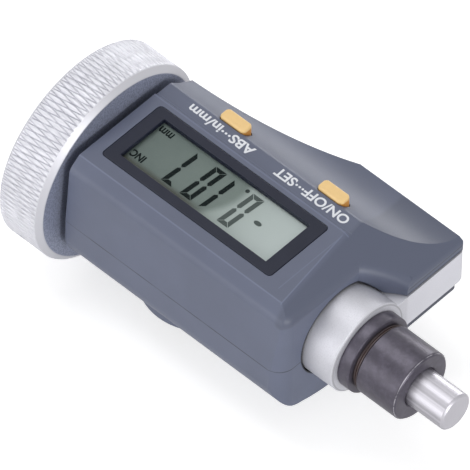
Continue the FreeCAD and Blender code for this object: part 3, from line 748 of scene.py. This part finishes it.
class HeadSizes(bpy.types.PropertyGroup):
    cover_edge: length("Cover edge", "Rounding of the sharp edges of the covers", 0.14)
    wing_edge: length("Wing edge", "Rounding of the wing's upper front edge", 0.6)
    frame_edge: length("Frame edge", "Rounding of the collar and plate edges", 0.06)
    bezel_edge: length("Bezel edge", "Rounding of the window bezel", 0.1)
    pane_edge: length("Pane edge", "Rounding of the clear pane", 0.08)
    cap_edge: length("Cap edge", "Rounding of the battery cap", 0.1)
    screw_edge: length("Screw edge", "Rounding of the screw heads", 0.08)
    key_corner: length("Key corner", "Bevel of the push buttons' corners", 0.55)
    key_top: length("Key top", "Rounding of the push buttons' tops", 0.36)
    knurl_depth: length("Knurl depth", "Depth of the grip pattern on the thimble", 0.19)
    knurl_shake: length("Knurl shake", "How far the grip's points stray", 0.03)
    knurl_count: count("Knurl count", "Diamonds round the thimble", 118, 12, 240)
    knurl_rows: count("Knurl rows", "Steps of the mesh across the grip", 13, 2, 20)
    legend_height: length("Legend height", "Height of the capitals beside the buttons", 1.78)
    legend_base: length("Legend base line", "Y of the foot of the legends", 9.68)
    digit_height: length("Digit height", "Height of the figures on the display", 7.7)
    digit_width: length("Digit width", "Width of one figure on the display", 2.3)
    digit_pitch: length("Digit pitch", "Step from one figure to the next", 3.88)
    digit_stroke: length("Digit stroke", "Width of a segment", 0.78)


class HeadColours(bpy.types.PropertyGroup):
    housing: colour("Housing", "Blue-grey of the two covers", tint(98, 104, 124))
    bezel: colour("Bezel", "Blue-black of the window frame", tint(31, 35, 52))
    stem: colour("Stem", "Black oxide of the stem", tint(84, 80, 92))
    groove_low: colour("Groove dark", "Darker tone in the relief groove", tint(48, 38, 36))
    groove_high: colour("Groove light", "Lighter tone in the relief groove", tint(140, 116, 104))
    steel: colour("Spindle steel", "Ground steel of the spindle", tint(198, 196, 203))
    alloy: colour("Frame alloy", "Satin alloy of the collar and plate", tint(213, 213, 220))
    thimble: colour("Thimble alloy", "Satin alloy of the thimble", tint(224, 224, 231))
    knurl_valley: colour("Knurl valleys", "Dark tone at the grip's foot", tint(166, 166, 176))
    # A painted reflection of the housing in the thimble's face, darker and bluer than the metal.
    face: colour("Thimble face", "Brushed face beside the covers", tint(154, 160, 181))
    button: colour("Buttons", "Orange-yellow of the push buttons", tint(251, 212, 146))
    # Painted shade on the buttons' flanks.
    button_flank: colour("Button flanks", "Deeper tone at the button's foot", tint(226, 156, 70))
    legend: colour("Legends", "Ink of the words beside the buttons", tint(238, 240, 246))
    # The dim, middle and bright grounds make a painted reflection across the display.
    panel_dim: colour("Panel dim", "Display ground toward the thimble", tint(107, 121, 117))
    panel_mid: colour("Panel middle", "Display ground in the middle", tint(152, 166, 160))
    panel_bright: colour("Panel bright", "Display ground toward the spindle", tint(210, 222, 220))
    panel_shade: colour("Panel shade", "Shaded near edge of the display", tint(62, 58, 44))
    segment: colour("Segments", "Display figures in the dim part", tint(10, 22, 22))
    # Painted reflection on the figures in the display's bright part.
    segment_lit: colour("Segments lit", "Display figures in the bright part", tint(92, 102, 100))
    cap: colour("Battery cap", "Battery cap under the housing", tint(62, 66, 80))
    screw: colour("Screws", "Plated steel of the screws", tint(170, 170, 176))
    bronze: colour("Bearing bronze", "Bush, nut and spring", tint(196, 158, 92))
    board: colour("Circuit board", "Laminate of the boards", tint(40, 104, 72))
    rubber: colour("Rubber and chips", "Black of the pads and the chips", tint(40, 40, 41))
    holder: colour("Panel holder", "White of the holder under the display", tint(215, 215, 212))


class StageSettings(bpy.types.PropertyGroup):
    side_power: amount("Side lamp", "Watts of the lamp beside the display's near edge", 3.3)
    front_power: amount("Front lamp", "Watts of the lamp before the spindle", 3.0)
    back_power: amount("Back lamp", "Watts of the low lamp behind the buttons", 1.7)
    top_power: amount("Top lamp", "Watts of the lamp over the thimble", 2.35)
    sky_level: amount("Sky level", "Level light from all round", 0.46)
    mirror_level: amount("Mirrored sky", "Sky as shiny surfaces see it", 0.75)
    floor_level: amount("Floor glow", "Light added to the floor for the camera", 0.55)


# Operators


def chosen(context):
    """The sizes and colours set in the scene."""
    return context.scene.head_sizes, context.scene.head_colours


class HEAD_OT_covers(bpy.types.Operator):
    """Upper and lower housing covers with softened edges"""

    bl_idname = "head.covers"
    bl_label = "Housing covers"

    def execute(self, context):
        sizes, colours = chosen(context)
        for name, node in (("upper_cover", "top_cover"), ("lower_cover", "bottom_cover")):
            cover = join_up(name, node)
            if name == "upper_cover":
                self.soften_wing(cover, sizes.wing_edge)
            round_edges(cover, sizes.cover_edge, degrees=20)
            smooth(cover, 22)
            dress(cover, housing_plastic(colours), "housing", node)
        return {"FINISHED"}

    def soften_wing(self, cover, width):
        """Rounds the upper front edge of the wing."""
        front, inner_side, foot = span("top_cover")[1].x - 0.02, 9.6, 5.6
        open_mesh(cover)
        choose(cover, "EDGE", lambda p: p.x > front and p.y > inner_side and p.z > foot)
        bpy.ops.mesh.bevel(offset=width, segments=7, affect="EDGES")
        close_mesh()


class HEAD_OT_collar(bpy.types.Operator):
    """Collar and side plate in satin alloy"""

    bl_idname = "head.collar"
    bl_label = "Collar and plate"

    def execute(self, context):
        sizes, colours = chosen(context)
        finish = satin_alloy(colours)
        dress_copy("collar_and_plate", "frame", sizes.frame_edge, 20, finish, "housing")
        return {"FINISHED"}


class HEAD_OT_stem(bpy.types.Operator):
    """Black clamping stem with its flange and relief groove"""

    bl_idname = "head.stem"
    bl_label = "Clamping stem"

    def execute(self, context):
        low, high = span("stem")
        bore, body, flange, neck = 3.28, 6.0, high.z, 5.5
        collar_face, flange_face, shoulder = -3.2, -1.0, 0.0
        end_bevel, mouth_bevel = 0.35, 0.3
        profile = [
            (low.x, bore, 0),
            (low.x, neck, 0),
            (collar_face, neck, 0),
            (collar_face, flange, 0.22),
            (flange_face, flange, 0.26),
            (flange_face, neck, 0.08),
        ]
        rib, slope, rib_length = 0.25, 0.02, 0.22
        for start in (-0.8, -0.4):
            profile += [
                (start, neck, 0),
                (start + slope, neck + rib, 0.06),
                (start + rib_length - slope, neck + rib, 0.06),
                (start + rib_length, neck, 0),
            ]
        profile += [
            (shoulder, neck, 0.08),
            (shoulder, body, 0.12),
            (high.x - end_bevel, body, 0.08),
            (high.x, body - end_bevel, 0.08),
            (high.x, bore + mouth_bevel, 0.08),
            (high.x - mouth_bevel, bore, 0),
        ]
        stem = turned("clamping_stem", profile, 128)
        smooth(stem, 35)
        dress(stem, black_oxide(context.scene.head_colours), "housing", "stem")
        return {"FINISHED"}


class HEAD_OT_spindle(bpy.types.Operator):
    """Ground steel spindle with its flat measuring end"""

    bl_idname = "head.spindle"
    bl_label = "Spindle"

    def execute(self, context):
        low, high = span("spindle")
        radius, tip_bevel = high.z, 0.35
        pocket = span("spindle_nut")[1]
        bore, bore_end = 2.32, span("feed_screw")[1].x + 1.2
        profile = [
            (low.x, pocket.z, 0),
            (low.x, radius, 0.2),
            (high.x - tip_bevel, radius, 0.1),
            (high.x, radius - tip_bevel, 0.1),
            (high.x, 0, 0),
            (bore_end, 0, 0),
            (bore_end, bore, 0),
            (pocket.x, bore, 0),
            (pocket.x, pocket.z, 0),
        ]
        spindle = turned("measuring_spindle", profile, 96)
        smooth(spindle, 30)
        dress(spindle, ground_steel(context.scene.head_colours), "spindle", "spindle")
        return {"FINISHED"}


class HEAD_OT_thimble(bpy.types.Operator):
    """Knurled thimble drum, its grub screw and its end cap"""

    bl_idname = "head.thimble"
    bl_label = "Thimble"

    columns = 10
    flank_depth = 0.4

    def execute(self, context):
        sizes, colours = chosen(context)
        self.low, self.high = span("thimble_drum")
        self.crest = self.high.z
        self.land, self.grip_back, self.lip = self.high.x - 0.75, self.low.x + 0.45, 0.1
        self.rows = sizes.knurl_rows
        self.pitch = (self.land - self.grip_back - 2 * self.lip) / self.rows
        self.steps = self.columns * sizes.knurl_count
        drum = self.drum()
        self.knurl(drum, sizes.knurl_depth / MM, sizes.knurl_shake)
        near, far = span("set_screw")
        radius = (far.x - near.x) / 2
        cut(drum, self.post("hole", radius, self.crest - 1.8, self.crest + 2, 32))
        smooth(drum, 40)
        dress(drum, thimble_alloy(colours), "thimble", "thimble_drum")
        self.grub_screw(radius, colours)
        self.end_cap(colours)
        return {"FINISHED"}

    def drum(self):
        """The plain drum, with a row of points for each step of the grip."""
        hub, cap = span("thimble_hub")[0].x, span("end_cap")[1].z
        low, high, crest = self.low, self.high, self.crest
        bore, front_bevel, grip_step, back_bevel = 4.05, 1.05, 0.1, 0.55
        rim_radius, dish, play = 14.5, 0.4, 0.02
        grip_front = self.land - self.lip
        band = [(grip_front - n * self.pitch, crest, 0) for n in range(self.rows + 1)]
        profile = [
            (high.x, bore, 0),
            (high.x, crest - front_bevel, 0.15),
            (self.land, crest - grip_step, 0.05),
            *band,
            (self.grip_back, crest - grip_step, 0),
            (low.x, crest - back_bevel, 0.15),
            (low.x, rim_radius, 0.15),
            (low.x + dish, rim_radius - dish, 0.15),
            (low.x + dish, cap + play, 0.08),
            (hub, cap + play, 0),
            (hub, bore, 0),
        ]
        return turned("thimble_drum_knurled", profile, self.steps)

    def off_groove(self, spot):
        """Columns between a point of the grip and the nearest of its two grooves."""
        if abs(math.hypot(spot.y, spot.z) - self.crest) > 0.01:
            return self.columns
        row = round((self.land - self.lip - spot.x) / self.pitch)
        column = round(math.atan2(spot.y, spot.z) / FULL_TURN * self.steps)
        ways = (column + row) % self.columns, (column - row) % self.columns
        return min(min(way, self.columns - way) for way in ways)

    def knurl(self, drum, depth, shake):
        """Presses two crossing sets of grooves into the grip and shakes its points a little."""
        root = 1 - depth / self.crest
        flank = 1 - (1 - root) * self.flank_depth
        open_mesh(drum)
        for away, shrink in ((1, flank), (0, root)):
            choose(drum, "VERT", lambda spot: self.off_groove(spot) == away)
            bpy.ops.transform.resize(value=(1, shrink, shrink), center_override=(0, 0, 0))
        back, front = self.grip_back + self.lip / 2, self.land - self.lip / 2
        inside = self.crest - depth - 0.01
        choose(
            drum, "VERT", lambda p: back < p.x < front and math.hypot(p.y, p.z) > inside
        )
        bpy.ops.transform.vertex_random(offset=shake, seed=4)
        close_mesh()

    def post(self, name, radius, low, high, corners):
        """An upright on the line of the grub screw, between two distances from the axis."""
        near, far = span("set_screw")
        lean = math.radians(63)
        out = Vector((0, -math.sin(lean), -math.cos(lean)))
        middle = Vector(((near.x + far.x) / 2, 0, 0)) + out * (low + high) / 2
        bpy.ops.mesh.primitive_cylinder_add(
            vertices=corners,
            radius=radius * MM,
            depth=(high - low) * MM,
            location=middle * MM,
            rotation=out.to_track_quat("Z", "X").to_euler(),
        )
        return settle(named(name))

    def grub_screw(self, radius, colours):
        """The screw in the drum's rim, with a six-sided socket."""
        foot, top, socket = self.crest - 2.4, self.crest - 0.7, self.crest - 1.7
        play, socket_share = 0.04, 0.58
        screw = self.post("grub_screw", radius - play, foot, top, 32)
        round_edges(screw, 0.12 * MM)
        cut(screw, self.post("socket", radius * socket_share, socket, self.crest, 6))
        smooth(screw, 35)
        dress(screw, black_oxide(colours), "thimble", "set_screw")

    def end_cap(self, colours):
        """The round cap in the drum's end, with a ring cut in its face."""
        low, high = span("end_cap")
        radius, bevel = high.z - 0.03, 0.25
        rim, wall, ring, depth = 0.9 * MM, 0.15 * MM, 0.35 * MM, 0.12 * MM
        profile = [
            (low.x, 0, 0),
            (low.x, radius - bevel, 0.1),
            (low.x + bevel, radius, 0.1),
            (high.x, radius, 0),
            (high.x, 0, 0),
        ]
        cap = turned("thimble_end_cap", profile, 96)
        open_mesh(cap)
        choose(cap, "FACE", lambda spot: spot.x < low.x + 0.01)
        for thickness, sink in ((rim, 0), (wall, -depth), (ring, 0), (wall, depth)):
            bpy.ops.mesh.inset(thickness=thickness, depth=sink)
        close_mesh()
        smooth(cap, 30)
        dress(cap, satin_alloy(colours), "thimble", "end_cap")


class HEAD_OT_window(bpy.types.Operator):
    """Window bezel, clear pane and display panel"""

    bl_idname = "head.window"
    bl_label = "Display window"

    def execute(self, context):
        sizes, colours = chosen(context)
        bezel, pane = bezel_plastic(colours), clear_pane(colours)
        dress_copy("window_bezel", "bezel", sizes.bezel_edge, 32, bezel, "housing", 3)
        dress_copy("window_glass", "window_pane", sizes.pane_edge, 32, pane, "housing")
        return {"FINISHED"}


class HEAD_OT_readout(bpy.types.Operator):
    """Figures, sign and words on the display"""

    bl_idname = "head.readout"
    bl_label = "Display figures"

    strokes = {"0": "abcdef", "1": "bc", "7": "abc"}

    def execute(self, context):
        sizes, colours = chosen(context)
        ink = crystal_segment(colours)
        self.level = span("lcd_panel")[1].z + 0.01
        self.right, self.top = -42.45, -4.3
        self.height = sizes.digit_height / MM
        self.width = sizes.digit_width / MM
        self.stroke = sizes.digit_stroke / MM
        for place, figure in enumerate("7010"):
            left = self.right + self.width + place * sizes.digit_pitch / MM
            drawn = [self.segment(name, left) for name in self.strokes[figure]]
            dress(weld(drawn, f"figure_{place}"), ink, "housing")
        dress(self.dot("decimal_point", (-31.23, 3.12), 0.36, 0.36), ink, "housing")
        dress(self.dot("minus_sign", (-25.78, -0.47), 0.72, 0.42), ink, "housing")
        words = (
            ("mode_word", "INC", (-46.8, -2.7), (2.65, 1.4), 0.035),
            ("unit_word", "mm", (-46.85, 3.6), (2.6, 1.25), 0.024),
        )
        for name, letters, place, size, heavy in words:
            word = lettering(name, letters, place, size, self.level, FIGURE_THICK, heavy)
            dress(word, ink, "housing")
        return {"FINISHED"}

    def segment(self, name, left):
        """One bar of a figure, drawn in reading axes and laid on the panel."""
        w, h, t = self.width, self.height, self.stroke
        gap, half, lean = 0.07, self.stroke / 2, 0.072
        joint = h / 2 - half - gap
        flat = [(gap, 0), (w - gap, 0), (w - t - gap, t), (t + gap, t)]
        upright = [(0, gap), (t, t + gap), (t, joint), (half, h / 2 - gap), (0, joint)]
        shape = flat if name in "ad" else upright
        if name in "bc":
            shape = [(w - across, down) for across, down in shape]
        if name in "cde":
            shape = [(across, h - down) for across, down in shape]
        outline = [(left - across + lean * down, self.top + down) for across, down in shape]
        return plate("bar_" + name, outline, self.level, FIGURE_THICK)

    def dot(self, name, place, half_x, half_y):
        bpy.ops.mesh.primitive_circle_add(
            vertices=32, radius=MM, fill_type="NGON", location=(0, 0, 0)
        )
        dot = named(name)
        open_mesh(dot)
        bpy.ops.transform.resize(value=(half_x, half_y, 1), center_override=(0, 0, 0))
        rise = (0, 0, FIGURE_THICK * MM)
        bpy.ops.mesh.extrude_region_move(TRANSFORM_OT_translate={"value": rise})
        bpy.ops.mesh.select_all(action="SELECT")
        bpy.ops.transform.translate(value=[v * MM for v in (*place, self.level)])
        close_shell()
        return dot


def lettering(name, words, place, size, level, thick, heavy):
    """Raised words that read toward -X with their tops toward -Y, sized in millimetres."""
    deselect()
    bpy.ops.object.text_add(location=(0, 0, 0))
    text = bpy.context.active_object
    text.data.body = words
    text.data.resolution_u = 5
    text.data.extrude = thick / 2
    text.data.offset = heavy
    bpy.ops.object.convert(target="MESH")
    made = named(name)
    xs = [v.co.x for v in made.data.vertices]
    start, end = min(xs), max(xs)
    scale_x = size[0] / (end - start) * MM
    scale_y = size[1] / (CAPITAL_HEIGHT if words != "mm" else SMALL_HEIGHT) * MM
    open_mesh(made)
    bpy.ops.mesh.remove_doubles(threshold=1e-5)
    bpy.ops.transform.translate(value=(-start, 0, 0))
    bpy.ops.transform.resize(value=(-scale_x, -scale_y, MM), center_override=(0, 0, 0))
    bpy.ops.transform.translate(value=[v * MM for v in (*place, level + thick / 2)])
    close_shell()
    return made


class HEAD_OT_legends(bpy.types.Operator):
    """White words beside the two buttons"""

    bl_idname = "head.legends"
    bl_label = "Button legends"

    def execute(self, context):
        sizes, colours = chosen(context)
        high, foot = sizes.legend_height / MM, sizes.legend_base / MM
        level, heavy = 11.8, 0.024
        dots = "\u00b7" * 3
        words = (
            ("legend_units", "ABS" + dots + "in/mm", -35.5, 13.3),
            ("legend_power", "ON/OFF" + dots + "SET", -15.8, 14.75),
        )
        for name, letters, left, wide in words:
            place, size = (left, foot), (wide, high)
            legend = lettering(name, letters, place, size, level, LEGEND_THICK, heavy)
            dress(legend, legend_ink(colours), "housing")
        return {"FINISHED"}


class HEAD_OT_buttons(bpy.types.Operator):
    """Two push buttons with bevelled corners and a soft top edge"""

    bl_idname = "head.buttons"
    bl_label = "Push buttons"

    def execute(self, context):
        sizes, finish = context.scene.head_sizes, button_plastic(context.scene.head_colours)
        for name, node in (("key_units", "button_back"), ("key_power", "button_front")):
            self.key(name, node, sizes, finish)
        return {"FINISHED"}

    def key(self, name, node, sizes, finish):
        """One button, a block whose four corners and top edge are bevelled."""
        low, high = span(node)
        half_x, half_y, y = 2.6, 1.15, 11.7
        x, z = (low.x + high.x) / 2, (low.z + high.z) / 2
        block = (2 * half_x, 2 * half_y, high.z - low.z)

        def on_corner(spot):
            along, across = abs(spot.x - x) - half_x, abs(spot.y - y) - half_y
            return abs(along) < 0.01 and abs(across) < 0.01

        bpy.ops.mesh.primitive_cube_add(size=MM, location=(0, 0, 0))
        key = named(name)
        open_mesh(key)
        bpy.ops.transform.resize(value=block, center_override=(0, 0, 0))
        bpy.ops.transform.translate(value=[v * MM for v in (x, y, z)])
        choose(key, "EDGE", on_corner)
        bpy.ops.mesh.bevel(offset=sizes.key_corner, segments=2, profile=0.35)
        choose(key, "FACE", lambda spot: spot.z > high.z - 0.01)
        bpy.ops.mesh.bevel(offset=sizes.key_top, segments=5, affect="EDGES")
        close_shell()
        smooth(key, 40)
        dress(key, finish, node, node)


class HEAD_OT_underside(bpy.types.Operator):
    """Battery cap and the screws on the underside"""

    bl_idname = "head.underside"
    bl_label = "Underside"

    def execute(self, context):
        sizes, colours = chosen(context)
        cap, steel = cap_plastic(colours), screw_steel(colours)
        dress_copy("coin_slot_cap", "battery_cap", sizes.cap_edge, 32, cap, "battery_cap")
        for name, node in (("cover_screw_set", "cover_screws"), ("wing_screw_set", "wing_screws")):
            dress_copy(name, node, sizes.screw_edge, 32, steel, "housing")
        return {"FINISHED"}


class HEAD_OT_inner_parts(bpy.types.Operator):
    """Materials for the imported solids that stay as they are"""

    bl_idname = "head.inner_parts"
    bl_label = "Inner parts"

    def execute(self, context):
        colours = context.scene.head_colours
        finishes = {
            "aluminium_body": satin_alloy,
            "screw_steel": screw_steel,
            "board": circuit_laminate,
            "chip": moulded_black,
            "lcd": crystal_panel,
            "holder_plastic": holder_plastic,
            "pad_rubber": moulded_black,
            "cell_steel": screw_steel,
            "spring_brass": bearing_bronze,
            "bush_brass": bearing_bronze,
            "ground_steel": ground_steel,
        }
        for node, obj in frame["nodes"].items():
            if obj.hide_render:
                continue
            finish = finishes[slot_of(node)](colours)
            if not obj.material_slots:
                obj.data.materials.append(finish)
            for place in obj.material_slots:
                place.material = finish
        return {"FINISHED"}


class HEAD_OT_stage(bpy.types.Operator):
    """Pale floor, soft lamps, level sky and the camera"""

    bl_idname = "head.stage"
    bl_label = "Stage"

    def execute(self, context):
        settings = context.scene.head_stage
        self.floor(settings)
        self.sky(settings)
        for name, place, size, power in (
            ("side_lamp", (-0.15, -0.75, 0.12), 0.7, settings.side_power),
            ("front_lamp", (0.75, -0.1, 0.06), 0.3, settings.front_power),
            ("back_lamp", (-0.35, 0.75, 0.05), 0.3, settings.back_power),
            ("top_lamp", (-0.37, 0.03, 0.82), 0.5, settings.top_power),
        ):
            self.lamp(name, place, size, power)
        self.camera(context.scene)
        context.scene.view_settings.view_transform = "Standard"
        return {"FINISHED"}

    def floor(self, settings):
        """A matt floor that the camera and shiny surfaces see a little lighter."""
        bpy.ops.mesh.primitive_plane_add(size=6.0, location=(0, 0, CAD_LOW.z))
        floor = named("floor")
        material = bpy.data.materials.new("floor_white")
        graph = Graph(material)
        graph.tree.nodes.clear()
        pale, mirrored = (0.82, 0.82, 0.82), 0.4
        diffuse = graph.node("ShaderNodeBsdfDiffuse", {}, {"Color": pale})
        rays = graph.ray("Camera") + graph.ray("Transmission") + graph.ray("Glossy") * mirrored
        glow = graph.node("ShaderNodeEmission", {}, {"Strength": rays * settings.floor_level})
        total = graph.node("ShaderNodeAddShader", {}, {0: diffuse, 1: glow})
        graph.node("ShaderNodeOutputMaterial", {}, {"Surface": total})
        floor.data.materials.append(material)

    def sky(self, settings):
        """Level light for the object, and plain white for the camera."""
        world = bpy.data.worlds.new("studio_sky")
        bpy.context.scene.world = world
        graph = Graph(world)
        graph.tree.nodes.clear()
        levels = (settings.sky_level, settings.mirror_level, 1.0, 1.0)
        seen, *others = (
            graph.node("ShaderNodeBackground", {}, {"Color": (1, 1, 1), "Strength": level})
            for level in levels
        )
        for kind, layer in zip(("Glossy", "Transmission", "Camera"), others):
            seen = graph.node("ShaderNodeMixShader", {}, {0: graph.ray(kind), 1: seen, 2: layer})
        graph.node("ShaderNodeOutputWorld", {}, {"Surface": seen})

    def lamp(self, name, place, size, power):
        """A square lamp, in metres and watts, turned toward the housing's middle."""
        light = bpy.data.lights.new(name, "AREA")
        light.shape = "SQUARE"
        light.size = size
        light.energy = power
        lamp = bpy.data.objects.new(name, light)
        bpy.context.scene.collection.objects.link(lamp)
        lamp.location = place
        middle = Vector((-0.02, 0.0, 0.0))
        aim = middle - Vector(place)
        lamp.rotation_euler = aim.to_track_quat("-Z", "Y").to_euler()

    def camera(self, scene):
        """The photograph's own view, from far off through a long lens."""
        right = Vector((0.73465, 0.67807, 0.02131))
        up = Vector((-0.53842, 0.56372, 0.62642))
        back = Vector((0.41279, -0.47167, 0.77922))
        place = Vector((719.56, -825.84, 1364.33)) * MM
        frame_width, focus, sensor = 470, 11525.0, 36.0
        middle_right, middle_up = -132.46, 113.04
        aim = (right * middle_right + up * middle_up - back * focus).normalized()
        side = aim.cross(up).normalized()
        turn = Matrix((side, side.cross(aim), -aim)).transposed().to_4x4()
        data = bpy.data.cameras.new("photo_camera")
        data.sensor_width = sensor
        data.lens = focus / frame_width * sensor
        data.clip_start = 0.05
        data.clip_end = 50.0
        camera = bpy.data.objects.new("photo_camera", data)
        scene.collection.objects.link(camera)
        camera.matrix_world = Matrix.Translation(place) @ turn
        scene.camera = camera


class HEAD_PT_panel(bpy.types.Panel):
    bl_label = "Micrometer head"
    bl_idname = "HEAD_PT_panel"
    bl_space_type = "VIEW_3D"
    bl_region_type = "UI"
    bl_category = "Micrometer"

    def draw(self, context):
        for group, kind in GROUPS.items():
            box = self.layout.box()
            for name in kind.__annotations__:
                box.prop(getattr(context.scene, group), name)
        for operator in OPERATORS:
            self.layout.operator(operator.bl_idname)


GROUPS = {"head_sizes": HeadSizes, "head_colours": HeadColours, "head_stage": StageSettings}
OPERATORS = (
    HEAD_OT_covers,
    HEAD_OT_collar,
    HEAD_OT_stem,
    HEAD_OT_spindle,
    HEAD_OT_thimble,
    HEAD_OT_window,
    HEAD_OT_readout,
    HEAD_OT_legends,
    HEAD_OT_buttons,
    HEAD_OT_underside,
    HEAD_OT_inner_parts,
    HEAD_OT_stage,
)


def register():
    for kind in (*GROUPS.values(), *OPERATORS, HEAD_PT_panel):
        bpy.utils.register_class(kind)
    for name, group in GROUPS.items():
        setattr(bpy.types.Scene, name, bpy.props.PointerProperty(type=group))


def unregister():
    for name in GROUPS:
        delattr(bpy.types.Scene, name)
    for kind in (HEAD_PT_panel, *reversed(OPERATORS), *reversed(GROUPS.values())):
        bpy.utils.unregister_class(kind)


def main():
    register()
    deselect()
    head = bpy.ops.head
    head.covers()
    head.collar()
    head.stem()
    head.spindle()
    head.thimble()
    head.window()
    head.readout()
    head.legends()
    head.buttons()
    head.underside()
    head.inner_parts()
    head.stage()


if __name__ == "__main__":
    main()
